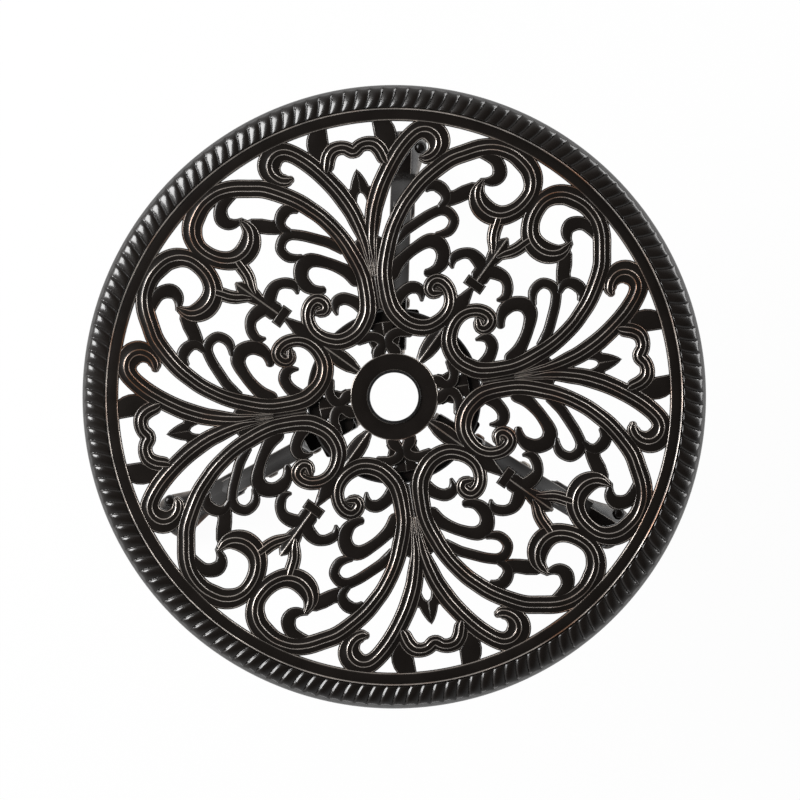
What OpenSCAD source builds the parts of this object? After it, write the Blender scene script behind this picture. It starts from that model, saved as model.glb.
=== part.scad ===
// Round cast garden table with an umbrella hole, a scrollwork top and three cast legs.
// Origin: centre of the floor under the table. +Z up, palmettes of the top on X and Y.
// All sizes in millimetres.

/* [Main sizes] */
// Diameter of the table top over the gadrooned rim
top_d = 800; // [600:10:1000]
// Height of the rim above the floor
table_h = 724; // [650:1:760]
// Radius of the circle that the foot pads stand on
foot_r = 352; // [260:1:380]
// Direction of the first leg, degrees from X
leg_turn = 79; // [0:1:119]

/* [Table top casting] */
// Thickness of the scrollwork plate
plate_t = 9; // [6:0.5:14]
// Depth of the scrollwork below the top of the rim
plate_drop = 2; // [1:0.5:5]
// Width of the rim from its inner edge to its outer edge
rim_w = 46; // [40:1:60]
// Width of the gadrooned part of the rim, outside the fine bead
gadroon_w = 31; // [26:1:34]
// Depth of the rim from its bead to its lower edge
rim_depth = 22; // [20:1:35]
// Wall thickness of the rim casting
rim_wall = 6; // [4:0.5:8]
// Radius of the roll at the outer edge of the rim
roll_r = 10; // [9:0.5:12]
// Number of gadroons round the rim
gadroons = 150; // [60:2:200]
// Half width of the groove between two gadroons, 6 mm above its bottom
groove_w = 4; // [2:0.1:6]
// Depth of that groove below the top of a gadroon
groove_deep = 1.8; // [1:0.1:2.4]
// Half of the narrowest gap that the casting leaves open between two scrolls
web_gap = 1.2; // [0.4:0.1:3]
// How far a scroll's straight stretches may leave its true curve
chord_err = 0.5; // [0.2:0.1:1.5]

/* [Umbrella hole] */
// Clear radius through the umbrella ring
pole_r = 31; // [20:0.5:35]
// Wall of the umbrella ring sleeve
sleeve_t = 2; // [1.2:0.1:3]
// Width of the lip of the umbrella ring past its sleeve
lip_w = 1.3; // [1:0.1:4]
// Depth of the seat in the hub for that lip
seat_deep = 0.8; // [0.4:0.1:3]
// Outer radius of the flat hub round the hole
hub_r = 56; // [54:1:75]
// Depth of the hub boss below the top
hub_depth = 24; // [16:1:40]
// Wall of the hub boss round the sleeve
boss_wall = 10; // [5:0.5:14]

/* [Mounting ring] */
// Inner radius of the ring under the top
ring_in_r = 93; // [86:1:100]
// Width of the ring from its inner to its outer edge
ring_w = 19; // [17:0.5:30]
// Thickness of the ring
ring_t = 12; // [8:0.5:20]
// Width of the lugs that point inwards from the ring
lug_w = 24; // [18:1:34]
// Radius that the lugs reach in to
lug_r = 60; // [56:1:66]

/* [Legs] */
// Thickness of a leg from side to side
leg_t = 28; // [18:1:40]
// Width of a leg at its waist, seen from the side
leg_w = 25; // [20:0.5:30]
// Width of a foot where it flares out at the toe
toe_w = 70; // [50:1:90]
// Length of the flared part of a foot, behind its levelling stud
toe_l = 92; // [70:2:110]
// Width of the flat on top of a foot, between its sloping sides
toe_top_w = 20; // [14:1:26]
// Height of the sides of a foot at its outer edge
toe_side_h = 7; // [4:0.5:10]
// Radius of the eyes that stand on both sides of a foot
eye_r = 9; // [5:0.5:11]
// Height of those eyes above the underside of the foot
eye_h = 25; // [14:1:30]
// Height that the leaf ornament stands out from each side of a leg
leaf_proud = 2.5; // [1:0.5:6]
// Thickness of the pad at the top of a leg
pad_t = 12; // [8:0.5:18]
// Height of the brace ring above the floor
brace_z = 440; // [380:5:520]
// Inner radius of the brace ring
brace_in_r = 41; // [36:0.5:60]
// Width of the brace ring from its inner to its outer edge
brace_w = 16.4; // [10:0.2:24]
// Height of the brace ring
brace_h = 22; // [18:1:40]

/* [Fasteners and feet] */
// Shank radius of the bolts that hold a leg
bolt_r = 4; // [3:0.25:5]
// Shank radius of the screws that hold the ring
screw_r = 3; // [2:0.25:3.5]
// Thickness of the washers
washer_t = 1.6; // [1:0.1:3]
// Shank radius of the levelling feet
stud_r = 4; // [3:0.25:6]
// Radius of a foot pad
pad_r = 15; // [12:0.5:22]
// Height of a foot pad
pad_h = 9.5; // [7:0.5:16]
// Wall of the threaded insert in a foot
insert_wall = 3; // [2:0.5:4]

/* [Fits] */
// Clearance round a bolt in its through hole
bolt_clear = 0.35; // [0.1:0.05:1]
// Running clearance of a levelling stud in its thread
run_clear = 0.08; // [0.01:0.01:0.1]
// Gap between a levelling foot's pad and its lock nut
level_gap = 2.5; // [0.5:0.1:6]
// Gap between fixed neighbours
fit_gap = 0.05; // [0.02:0.01:0.2]

/* [Hidden] */
$fn = 96;
eps = 0.01;
top_r = top_d / 2;
rim_in_r = top_r - rim_w;
bead_r = top_r - gadroon_w;
k = rim_in_r / 354;
plate_z1 = table_h - plate_drop;
plate_z0 = plate_z1 - plate_t;
ring_z1 = plate_z0 - fit_gap;
ring_z0 = ring_z1 - ring_t;
ring_out_r = ring_in_r + ring_w;
ring_mid_r = ring_in_r + ring_w / 2;
sleeve_r = pole_r + sleeve_t;
lip_r = sleeve_r + lip_w;
seat_z = plate_z1 - seat_deep;
boss_r = sleeve_r + boss_wall;

// Scroll strokes of one eighth of the top, between the +Y palmette and the diagonal.
// Every row is x, y and width, for a top 800 mm across.
main_scroll = [
    [76, 122, 12], [70, 123, 14], [67.5, 129, 16], [71.5, 135.5, 17], [78.5, 138, 17],
    [86, 133.8, 17], [91, 125.5, 16.5], [92.5, 116, 16], [91.5, 107, 16.5], [87.5, 98, 17.5],
    [80, 90, 18.5], [71, 84.5, 19.5], [60, 81, 20.5], [49, 81.5, 21], [38, 85.5, 21.5],
    [29, 92, 21.5], [21.5, 101.5, 22], [16, 112, 22], [13.5, 126, 21], [13, 140, 20],
    [13.5, 155, 20], [16, 168, 20], [19.8, 180, 20], [24, 191, 20], [28.8, 203, 19.5],
    [37.9, 220, 18.5], [52.7, 240.4, 18.8], [65.6, 253.4, 19.2], [79.5, 265.6, 20],
    [97.8, 277.4, 20.5], [120.6, 289, 21.5], [140, 293, 21.5], [160.5, 295.9, 22],
    [178, 294.5, 21.5], [192, 289, 22], [203.8, 281, 23.5], [213, 270, 25.5], [219, 259, 25],
    [221, 248, 24.5], [219.8, 238, 22.5], [215.4, 228, 21], [207, 218.8, 21], [197.5, 212, 21.5],
    [188, 208, 22], [178, 206.2, 23.5], [168.5, 207.3, 25.5], [158.7, 212.3, 27.5],
    [151.3, 220.7, 27.5], [147.8, 230.6, 24.5], [148, 240, 19.5], [151.5, 247.5, 13], [156, 253, 8]];
hook_strand = [
    [2.5, 158, 4], [3.2, 175, 7], [3.6, 190, 11], [4.2, 200, 13], [5.8, 210, 15.5],
    [7.8, 220, 18.5], [10.5, 230, 20], [13.5, 240, 20.5], [17.5, 250, 21.5], [22, 259.5, 22],
    [27.3, 269.5, 22], [34, 280, 21.5], [41, 290, 21.5], [49.5, 301, 21.5], [59, 311.8, 22],
    [68.5, 320.5, 21.5], [77, 327, 21.5], [85.5, 331.3, 23], [94, 332, 26], [102.5, 328.6, 28.5],
    [108.6, 320.8, 29.5], [109.5, 311.5, 28], [105.5, 303, 23], [98, 297, 17], [90, 295, 14.5], [84.5, 296, 8]];
inner_hook = [
    [160, 292, 14], [170, 285, 15], [178, 277, 15.5], [181, 268, 16.5], [180, 259.5, 17.5],
    [174.5, 253.5, 15], [167.5, 252, 12], [161, 253, 8], [155, 255, 5]];
heart_band = [
    [-6, 321.5, 16.5], [0, 318.5, 17], [9, 324, 16.5], [18, 325.7, 17], [27.5, 323, 18.5],
    [33.8, 315, 19], [37, 305, 18]];
finger_1 = [
    [84, 254.5, 5], [89, 257.5, 10], [96, 258.5, 14.5], [103.5, 253.5, 15], [108, 244, 13],
    [105.5, 236, 11], [99, 231, 8]];
finger_2 = [
    [36, 193, 4], [42, 201, 10], [50, 208, 12], [60, 213, 12], [70, 217.5, 12], [80, 221.8, 12],
    [90, 225, 12], [98, 226.3, 12.5], [106, 223.5, 12.5], [111, 217, 12], [112.5, 210, 12],
    [109, 202.5, 11.5], [103, 197.3, 11], [95, 195.5, 9], [88, 196, 6]];
finger_3 = [
    [23, 157, 20], [31, 166, 17], [40, 173, 14.5], [50, 179.5, 13.5], [60, 184.5, 13.8],
    [70, 188.5, 15.5], [79, 189.5, 18], [88, 185, 19], [92, 175.5, 17.8], [91.5, 166, 17],
    [87, 157.8, 16], [80, 152.2, 12.5], [72, 149.8, 10.5], [67.5, 149.8, 9]];
finger_4 = [
    [22, 120, 16], [28, 126.5, 15], [36, 132, 14], [45, 134.8, 14.5], [53.5, 131.3, 13.5],
    [56, 124, 8.5], [55, 115.5, 2.5]];
fleur_curl = [
    [100.7, 150.5, 2.5], [100.7, 156, 7.5], [103.5, 162.3, 11.5], [111, 166, 12.5], [119, 166.8, 12.5],
    [127, 164.5, 14], [132.5, 159, 16], [136.5, 152, 17], [139.5, 143, 17.5], [140, 135, 15.5],
    [137, 129, 12]];
spear_arc = [
    [155.5, 163, 10], [157.3, 170, 13], [158.5, 179, 15], [161, 187, 15.5], [165, 195, 16],
    [168, 201, 16]];
hub_scroll = [
    [11, 48, 14], [10.8, 56, 15.5], [9.5, 60, 15.5], [6.5, 64, 13.5], [4.6, 67.5, 12.5], [4.2, 71.5, 12.5],
    [6.8, 76.3, 13], [13, 79.8, 12.5], [21, 80.8, 12.5], [28, 79.3, 12], [33, 77, 9]];
// Flat leaves of the same eighth, as outlines.
rim_leaf = [
    [30, 357], [30.4, 334], [36, 325], [40, 310], [51, 316], [57, 326], [57.6, 335], [56, 343],
    [52, 351], [53, 357]];
link_leaf = [
    [105, 231], [109, 229.8], [116, 230.2], [125, 231.9], [138, 235.4], [142, 243], [147, 253],
    [143, 254], [130, 251.8], [118, 247.6], [110, 248]];
heart_leaf = [
    [0, 295], [3.2, 290.4], [6.4, 284.8], [9.2, 278.5], [11.4, 271.5], [15, 270], [15, 262],
    [9, 252], [7, 254], [5.8, 259.2], [3.8, 263.3], [0, 266]];
// Leaves that lie on the diagonal, as distance along it and half width.
spear_leaf = [
    [180, 9], [190, 8], [203, 7], [212, 7.2], [217, 8.8], [223, 10], [230, 9.8], [238, 8.4],
    [244, 5.8], [250, 0.5]];
base_leaf = [[138, 11], [146, 10.5], [151.7, 8.9], [156, 7], [161, 5.6], [169, 2.8], [173, 2.6]];
spoke_leaf = [[42, 5], [56, 5.6], [62, 7], [69, 9], [76, 10.2], [85, 10.8], [94, 9.2], [108, 3]];
crossbar = [[171, 11.7], [171.9, 12.5], [181.6, 12.5], [182.5, 11.7]];
axis_web = [
    [0, 114.5], [4.5, 112], [12, 115], [14, 150], [17, 190], [17.5, 203], [14, 205.5], [8, 203],
    [2, 200], [0, 200]];
spiral_c = [78, 127];
spiral_r = 9;
// Leg in its own plane: distance from the centre line, height and width, for a table
// 724 mm high that stands on a circle of 352 mm. bend() fits them to the sizes above.
leg_path = [
    [100, 690, 24], [114, 674, 27], [119, 646, 27], [113, 606, 26], [100, 563, 25],
    [86, 522, 24.5], [75, 481, 25], [70, 440, 25], [74, 396, 25.5], [86, 350, 26.5],
    [105, 306, 27.5], [132, 264, 29], [165, 226, 31], [199, 192, 34], [230, 156, 34],
    [255, 118, 30], [276, 83, 26], [299, 54, 24], [325, 37.5, 22.5], [350, 29.5, 22],
    [371, 33, 17], [380, 43, 10], [374, 51.5, 7]];
leg_leaf = [
    [170, 222, 10], [190, 203, 22], [216, 177, 30], [240, 143, 25], [257, 112, 12], [266, 96, 5]];
leg_curl = [
    [150, 236, 9], [163, 200, 12], [182, 176, 13], [198, 172, 12], [204, 184, 10]];
top_curl = [[112, 676, 12], [126, 662, 12], [131, 646, 11], [126, 634, 9], [118, 636, 8]];
pad_z1 = ring_z0 - fit_gap;
pad_z0 = pad_z1 - pad_t;
pad_r1 = ring_out_r + 16;
bolt_y = leg_t / 2 + 2 * bolt_r - 1;
wing_w = 2 * (bolt_y + 2 * bolt_r);
lug_bolt_r = lug_r + lug_w / 2;
bolt_pos = [[lug_bolt_r, 0], [ring_mid_r, bolt_y], [ring_mid_r, -bolt_y]];
wing_half = 2 * bolt_r + 2.5;
screw_pos_r = ring_in_r + 2 * screw_r;
brace_out_r = brace_in_r + brace_w;
spot_r = brace_out_r + leg_w + 1.7;
waist_r = brace_out_r + leg_w / 2 + 0.1;
nut_h = 1.25 * stud_r;
base_h = pad_h - 6.5;
nut_r = 1.875 * stud_r;
insert_r = stud_r + insert_wall;
foot_z = pad_h + level_gap + nut_h;
foot_boss_h = 22;

// A point of the leg drawing, moved to where the sizes above put it.
function fit_r(r, z) =
    waist_r + (r - 70) * (z > 440 ? (ring_mid_r - waist_r) / 32.5 : (foot_r - waist_r) / 282);
function fit_z(z) =
    z > 440 ? brace_z + (z - 440) * (pad_z0 + 1.1 - brace_z) / 250
    : foot_z + (z - 17) * (brace_z - foot_z) / 423;
function bend(p) = [
    for (q = p) [fit_r(q[0], q[1]), fit_z(q[1]), q[2] * leg_w / 25]];

function at(p, i) = p[min(max(i, 0), len(p) - 1)];
function turn(p, i) =
    let (u = at(p, i) - at(p, i - 1), v = at(p, i + 1) - at(p, i),
        c = (u[0] * v[0] + u[1] * v[1]) / norm([u[0], u[1]]) / norm([v[0], v[1]]))
    acos(min(1, max(-1, c)));
// Leaves out the points that the curve would pass within chord_err of without them.
function thin(p, i = 1, far = 0, bent = 0) =
    i >= len(p) - 1 ? [p[len(p) - 1]]
    : let (l = far + norm([p[i][0] - p[i - 1][0], p[i][1] - p[i - 1][1]]), a = bent + turn(p, i))
    l * a > chord_err * 458 ? concat([p[i]], thin(p, i + 1)) : thin(p, i + 1, l, a);
function side(p, i, s) =
    let (q = at(p, i + 1), o = at(p, i - 1), dx = q[0] - o[0], dy = q[1] - o[1],
        l = sqrt(dx * dx + dy * dy), h = s * p[i][2] / 2)
    [p[i][0] - dy / l * h, p[i][1] + dx / l * h];
function both(p) = concat(p, [for (i = [len(p) - 1:-1:0]) [p[i][0], -p[i][1]]]);

// A band that follows its points, round at both ends.
module stroke(p) {
    s = concat([p[0]], thin(p));
    for (i = [0:len(s) - 2])
        polygon([side(s, i, 1), side(s, i + 1, 1), side(s, i + 1, -1), side(s, i, -1)]);
    translate([s[0][0], s[0][1]]) circle(d = s[0][2], $fn = 8);
    translate([s[len(s) - 1][0], s[len(s) - 1][1]]) circle(d = s[len(s) - 1][2], $fn = 8);
}

module eight() {
    for (a = [0:90:270])
        rotate(a) {
            children();
            mirror([1, 0]) children();
        }
}

module four() {
    for (a = [0:90:270])
        rotate(a + 45) children();
}

module scrolls() {
    eight() {
        stroke(main_scroll);
        stroke(hook_strand);
        stroke(inner_hook);
        stroke(heart_band);
        stroke(finger_1);
        stroke(finger_2);
        stroke(finger_3);
        stroke(finger_4);
        stroke(fleur_curl);
        stroke(spear_arc);
        stroke(hub_scroll);
        polygon(rim_leaf);
        polygon(link_leaf);
        polygon(heart_leaf);
        polygon(axis_web);
        translate(spiral_c) circle(spiral_r, $fn = 16);
    }
    four() {
        polygon(both(spear_leaf));
        polygon(both(base_leaf));
        polygon(both(spoke_leaf));
        polygon(both(crossbar));
    }
}

g = gadroon_w / 31;
function roll(r) = [
    for (a = [68:-12:-28]) [top_r - roll_r + r * cos(a), -roll_r - 4 + r * sin(a)]];
function flip(p) = [for (i = [len(p) - 1:-1:0]) p[i]];
rim_floor = -rim_wall - 1.8;
rim_curve = concat([
    [rim_in_r, -plate_drop], [rim_in_r + 1.8, -1.6], [bead_r - 1.6, -1.6], [bead_r - 0.9, -0.3], [bead_r, 0],
    [bead_r + 0.9, -0.3], [bead_r + 1.8, -1.6], [bead_r + 5 * g, -1], [bead_r + 9 * g, -0.8],
    [bead_r + 14 * g, -1.5], [bead_r + 18 * g, -3]],
    roll(roll_r),
    [[top_r - 2.4, -rim_depth], [top_r - 4.6, -rim_depth]],
    flip(roll(roll_r - rim_wall)),
    [[bead_r + 14 * g, rim_floor - 0.8], [bead_r + 5 * g, rim_floor],
    [rim_in_r + 6.5, rim_floor], [rim_in_r + 5.5, rim_floor - 1],
    [rim_in_r + 4.5, -plate_drop - plate_t]]);

// The grooves between the gadroons of that quarter, which run out at both ends.
module gadroon_cuts() {
    for (i = [-ceil(gadroons / 8) - 1:ceil(gadroons / 8) + 1])
        rotate(i * 360 / gadroons)
            translate([bead_r + 13.5 * g, 0, table_h - groove_deep - 1.5])
                rotate([0, -7, 152])
                    rotate([90, 0, 90])
                        linear_extrude(34 * g, center = true)
                            polygon([[0, 0], [groove_w, 6], [-groove_w, 6]]);
}

module leg_frame(i) {
    rotate(leg_turn + 120 * i) children();
}

// A quarter of the casting before it is pierced: hub, plate and rim in one profile.
module top_blank() {
    translate([0, 0, table_h])
        rotate(-45)
            rotate_extrude(angle = 90, $fn = 360)
                polygon(concat(
                    [[lip_r + fit_gap, -plate_drop], [lip_r + fit_gap, -plate_drop - seat_deep],
                    [sleeve_r + fit_gap, -plate_drop - seat_deep],
                    [sleeve_r + fit_gap, -hub_depth],
                    [boss_r, -hub_depth], [boss_r + 2, -plate_drop - plate_t]],
                    flip(rim_curve)));
}

// What is cut away between the scrolls of that quarter.
module openings() {
    translate([0, 0, plate_z0 - 5])
        linear_extrude(plate_t + 10)
            offset(delta = 0)
                intersection() {
                    difference() {
                        circle(rim_in_r + 2, $fn = 96);
                        circle(hub_r);
                        offset(delta = -web_gap)
                            offset(delta = web_gap) scale([k, k]) scrolls();
                    }
                    polygon([[0, 0], [top_r, -top_r], [top_r, top_r]]);
                }
}

// Blind holes for the screws that hold the mounting ring, as they lie in quarter a.
module screw_holes(a) {
    for (i = [0:2])
        rotate(-a)
            leg_frame(i)
                rotate(-60)
                    translate([screw_pos_r, 0, plate_z0 - eps])
                        cylinder(r = screw_r + fit_gap, h = plate_t - 2.5, $fn = 32);
}

module top_casting() {
    color([0.15, 0.12, 0.1])
    for (a = [0:90:270])
        rotate(a)
            difference() {
                top_blank();
                openings();
                gadroon_cuts();
                screw_holes(a);
            }
}

module umbrella_ring() {
    color([0.1, 0.1, 0.1])
    rotate_extrude()
        polygon([
            [pole_r, table_h - hub_depth], [sleeve_r, table_h - hub_depth],
            [sleeve_r, seat_z + fit_gap], [lip_r, seat_z + fit_gap], [lip_r, table_h - 0.7],
            [lip_r - 0.5, table_h - 0.2], [pole_r + 0.6, table_h - 0.2], [pole_r, table_h - 0.8]]);
}

module mounting_ring() {
    color([0.12, 0.1, 0.09])
    difference() {
        union() {
            translate([0, 0, ring_z0])
                rotate_extrude()
                    polygon([
                        [ring_in_r, 1], [ring_in_r + 1, 0], [ring_out_r - 2, 0], [ring_out_r, 2],
                        [ring_out_r, ring_t - 2], [ring_out_r - 2, ring_t],
                        [ring_in_r + 1, ring_t], [ring_in_r, ring_t - 1]]);
            for (i = [0:2])
                leg_frame(i) {
                    translate([lug_bolt_r, -lug_w / 2, ring_z0])
                        cube([ring_in_r + 5 - lug_bolt_r, lug_w, ring_t]);
                    translate([lug_bolt_r, 0, ring_z0]) cylinder(r = lug_w / 2, h = ring_t);
                }
        }
        for (i = [0:2]) {
            leg_frame(i)
                for (q = bolt_pos)
                    translate([q[0], q[1], ring_z0 - eps])
                        cylinder(r = bolt_r + fit_gap, h = ring_t - 2, $fn = 48);
            leg_frame(i)
                rotate(-60)
                    translate([screw_pos_r, 0, ring_z0 - 1])
                        cylinder(r = screw_r + bolt_clear, h = ring_t + 2, $fn = 48);
        }
    }
}

module ring_screws() {
    color([0.6, 0.6, 0.62])
    for (i = [0:2])
        leg_frame(i)
            rotate(-60)
                translate([screw_pos_r, 0, ring_z0 - washer_t - fit_gap])
                    difference() {
                        union() {
                            cylinder(r = screw_r, h = washer_t + ring_t + plate_t - 3.5, $fn = 48);
                            translate([0, 0, -1.7 * screw_r])
                                cylinder(r = 1.7 * screw_r, h = 1.7 * screw_r, $fn = 48);
                        }
                        translate([0, 0, -1.7 * screw_r - 1])
                            cylinder(r = 0.95 * screw_r, h = screw_r + 1, $fn = 6);
                    }
}

module ring_washers() {
    color([0.62, 0.62, 0.64])
    for (i = [0:2])
        leg_frame(i)
            rotate(-60)
                translate([screw_pos_r, 0, ring_z0 - washer_t])
                    difference() {
                        cylinder(r = 2 * screw_r, h = washer_t - fit_gap, $fn = 48);
                        translate([0, 0, -1])
                            cylinder(r = screw_r + bolt_clear, h = washer_t + 2, $fn = 48);
                    }
}

// One cast leg, built on the X axis.
// The foot: the leg flares out to a spade with sloping sides, and an eye stands on each side.
module toe() {
    hull() {
        translate([0, 0, foot_z])
            linear_extrude(toe_side_h)
                polygon(both([
                    [foot_r - toe_l, leg_t / 2 - 3], [foot_r - 0.54 * toe_l, 0.37 * toe_w],
                    [foot_r + 6, toe_w / 2], [foot_r + 24, toe_w / 2 - 5]]));
        rotate([90, 0, 0])
            linear_extrude(toe_top_w, center = true)
                polygon([
                    [foot_r - toe_l, foot_z], [foot_r - 0.78 * toe_l, foot_z + 58],
                    [foot_r - 0.3 * toe_l, foot_z + 29], [foot_r + 24, foot_z + 22],
                    [foot_r + 28, foot_z]]);
    }
    for (y = [-1, 1])
        translate([foot_r + 4, y * (toe_w / 2 - eye_r - 2), foot_z]) {
            cylinder(r = eye_r, h = eye_h - 3, $fn = 48);
            translate([0, 0, eye_h - 3]) cylinder(r1 = eye_r, r2 = eye_r - 3, h = 3, $fn = 48);
        }
}

module leg_body() {
    difference() {
        union() {
            rotate([90, 0, 0])
                linear_extrude(leg_t, center = true)
                    offset(delta = 0.01)
                        intersection() {
                            union() {
                                stroke(bend(leg_path));
                                stroke(bend(top_curl));
                                stroke(bend(leg_curl));
                            }
                            translate([0, foot_z]) square([foot_r + 90, pad_z1 - foot_z - 1]);
                        }
            rotate([90, 0, 0])
                linear_extrude(leg_t + 2 * leaf_proud, center = true)
                    offset(delta = 0.01) stroke(bend(leg_leaf));
            toe();
            for (q = bend([[201, 177, 10], [121.5, 642, 9]]))
                translate([q[0], 0, q[1]])
                    rotate([90, 0, 0])
                        cylinder(r = q[2], h = leg_t + 2 * leaf_proud, center = true, $fn = 48);
            translate([lug_bolt_r, -lug_w / 2, pad_z0])
                cube([pad_r1 - lug_bolt_r, lug_w, pad_t]);
            translate([lug_bolt_r, 0, pad_z0]) cylinder(r = lug_w / 2, h = pad_t);
            translate([ring_mid_r - wing_half, -wing_w / 2, pad_z0])
                cube([2 * wing_half, wing_w, pad_t]);
            translate([foot_r, 0, foot_z])
                cylinder(r = insert_r + 6, h = foot_boss_h, $fn = 64);
            translate([brace_out_r + fit_gap, 0, brace_z])
                rotate([0, 90, 0])
                    cylinder(r = 11, h = spot_r - brace_out_r - fit_gap, $fn = 64);
        }
        for (q = bolt_pos)
            translate([q[0], q[1], pad_z0 - 1])
                cylinder(r = bolt_r + bolt_clear, h = pad_t + 2, $fn = 48);
        for (q = [bolt_pos[1], bolt_pos[2]])
            translate([q[0], q[1], pad_z0 - 30])
                cylinder(r = 2 * bolt_r + 1.2, h = 30, $fn = 48);
        translate([foot_r, 0, foot_z - 1])
            cylinder(r = insert_r + fit_gap, h = foot_boss_h - 1, $fn = 48);
        translate([brace_out_r - 5, 0, brace_z])
            rotate([0, 90, 0]) cylinder(r = bolt_r + bolt_clear, h = 40, $fn = 48);
    }
}

module leg_n(i) {
    color([0.14, 0.11, 0.1]) leg_frame(i) leg_body();
}

module leg_1() { leg_n(0); }
module leg_2() { leg_n(1); }
module leg_3() { leg_n(2); }

module leg_bolts() {
    color([0.6, 0.6, 0.62])
    for (i = [0:2])
        leg_frame(i)
            for (q = bolt_pos)
                translate([q[0], q[1], pad_z0 - washer_t - fit_gap]) {
                    cylinder(r = bolt_r, h = washer_t + pad_t + ring_t - 2.5, $fn = 48);
                    translate([0, 0, -1.3 * bolt_r])
                        cylinder(r = 1.875 * bolt_r, h = 1.3 * bolt_r, $fn = 6);
                }
}

module leg_washers() {
    color([0.62, 0.62, 0.64])
    for (i = [0:2])
        leg_frame(i)
            for (q = bolt_pos)
                translate([q[0], q[1], pad_z0 - washer_t])
                    difference() {
                        cylinder(r = 2 * bolt_r, h = washer_t - fit_gap, $fn = 48);
                        translate([0, 0, -1])
                            cylinder(r = bolt_r + bolt_clear, h = washer_t + 2, $fn = 48);
                    }
}

module brace_ring() {
    color([0.12, 0.1, 0.09])
    difference() {
        translate([0, 0, brace_z - brace_h / 2])
            rotate_extrude()
                polygon([
                    [brace_in_r, 2], [brace_in_r + 2, 0], [brace_out_r - 3, 0], [brace_out_r, 3],
                    [brace_out_r, brace_h - 3], [brace_out_r - 3, brace_h],
                    [brace_in_r + 2, brace_h], [brace_in_r, brace_h - 2]]);
        for (i = [0:2])
            leg_frame(i)
                translate([brace_in_r + 3.4, 0, brace_z])
                    rotate([0, 90, 0]) cylinder(r = bolt_r + fit_gap, h = brace_w, $fn = 48);
    }
}

module brace_bolts() {
    color([0.6, 0.6, 0.62])
    for (i = [0:2])
        leg_frame(i)
            translate([spot_r + washer_t + fit_gap, 0, brace_z])
                rotate([0, 90, 0]) {
                    translate([0, 0, brace_in_r + 4 - spot_r - washer_t])
                        cylinder(r = bolt_r, h = spot_r + washer_t - brace_in_r - 3.9, $fn = 48);
                    cylinder(r = 1.875 * bolt_r, h = 1.3 * bolt_r, $fn = 6);
                }
}

module brace_washers() {
    color([0.62, 0.62, 0.64])
    for (i = [0:2])
        leg_frame(i)
            translate([spot_r + fit_gap, 0, brace_z])
                rotate([0, 90, 0])
                    difference() {
                        cylinder(r = 2 * bolt_r, h = washer_t - fit_gap, $fn = 48);
                        translate([0, 0, -1])
                            cylinder(r = bolt_r + bolt_clear, h = washer_t + 2, $fn = 48);
                    }
}

module foot_inserts() {
    color([0.75, 0.62, 0.35])
    for (i = [0:2])
        leg_frame(i)
            translate([foot_r, 0, foot_z])
                difference() {
                    cylinder(r = insert_r, h = foot_boss_h - 3, $fn = 48);
                    translate([0, 0, -1])
                        cylinder(r = stud_r + run_clear, h = foot_boss_h, $fn = 64);
                }
}

module foot_locknuts() {
    color([0.62, 0.62, 0.64])
    for (i = [0:2])
        leg_frame(i)
            translate([foot_r, 0, foot_z - fit_gap - nut_h])
                difference() {
                    cylinder(r = nut_r, h = nut_h, $fn = 6);
                    translate([0, 0, -1])
                        cylinder(r = stud_r + run_clear, h = nut_h + 2, $fn = 64);
                }
}

module foot_stud(i) {
    color([0.65, 0.65, 0.67])
    leg_frame(i)
        translate([foot_r, 0, 3]) {
            cylinder(r = stud_r, h = foot_z + foot_boss_h - 7, $fn = 64);
            cylinder(r = pad_r - 4, h = base_h, $fn = 64);
        }
}

module foot_stud_1() { foot_stud(0); }
module foot_stud_2() { foot_stud(1); }
module foot_stud_3() { foot_stud(2); }

module foot_pad(i) {
    color([0.08, 0.08, 0.08])
    leg_frame(i)
        translate([foot_r, 0, 0])
            difference() {
                rotate_extrude()
                    polygon([
                        [0, 0], [pad_r - 1, 0], [pad_r, 1], [pad_r, 4], [pad_r - 2, pad_h - 3],
                        [pad_r - 5, pad_h], [0, pad_h]]);
                translate([0, 0, 3 - fit_gap])
                    cylinder(r = pad_r - 4 + fit_gap, h = base_h + 2 * fit_gap, $fn = 64);
                translate([0, 0, 3]) cylinder(r = stud_r + fit_gap, h = pad_h, $fn = 64);
            }
}

module foot_pad_1() { foot_pad(0); }
module foot_pad_2() { foot_pad(1); }
module foot_pad_3() { foot_pad(2); }

top_casting();
umbrella_ring();
mounting_ring();
ring_screws();
ring_washers();
leg_1();
leg_2();
leg_3();
leg_bolts();
leg_washers();
brace_ring();
brace_bolts();
brace_washers();
foot_inserts();
foot_locknuts();
foot_stud_1();
foot_stud_2();
foot_stud_3();
foot_pad_1();
foot_pad_2();
foot_pad_3();
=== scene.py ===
import math

import bpy
import numpy as np
from mathutils import Matrix, Vector


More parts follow.
